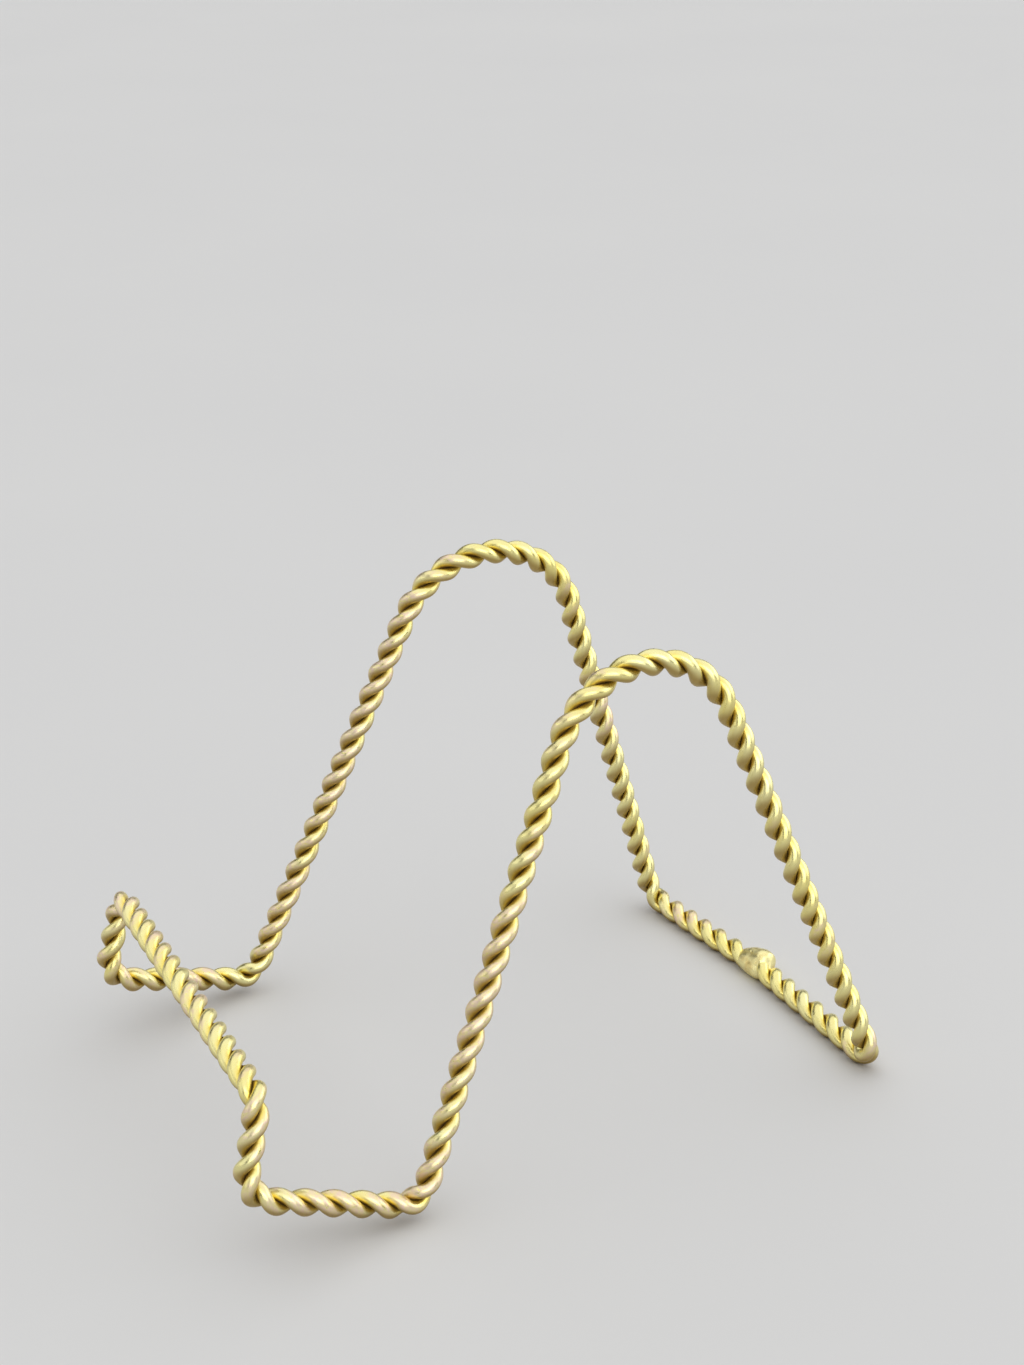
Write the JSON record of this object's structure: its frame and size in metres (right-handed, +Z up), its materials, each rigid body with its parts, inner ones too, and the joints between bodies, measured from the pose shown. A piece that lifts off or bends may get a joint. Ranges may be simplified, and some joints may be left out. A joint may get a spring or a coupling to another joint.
{
  "type": "book and album stand",
  "caption": "Open easel for a book or album, bent from one closed loop of rope twisted from two round brass wires, with a low front lip.",
  "frame": {"origin": "on the floor, at the centre of the stand's bounding box in plan", "axes": "+X to the right as seen from the front, +Y to the back, +Z up; the back rest leans towards +Y"},
  "size_m": [0.0954, 0.1391, 0.0986],
  "materials": {
    "brass_wire": "polished, lightly aged, darker in the grooves of the twist",
    "solder": "satin brazing alloy, same colour as the wire"
  },
  "bodies": {
    "root": {"lip_bar": "brass_wire", "right_riser": "brass_wire", "left_riser": "brass_wire", "right_under_run": "brass_wire", "left_under_run": "brass_wire", "right_upright": "brass_wire", "left_upright": "brass_wire", "right_arch": "brass_wire", "left_arch": "brass_wire", "right_leg": "brass_wire", "left_leg": "brass_wire", "right_floor_bar": "brass_wire", "left_floor_bar": "brass_wire", "seam_solder": "solder"}
  },
  "joints": []
}
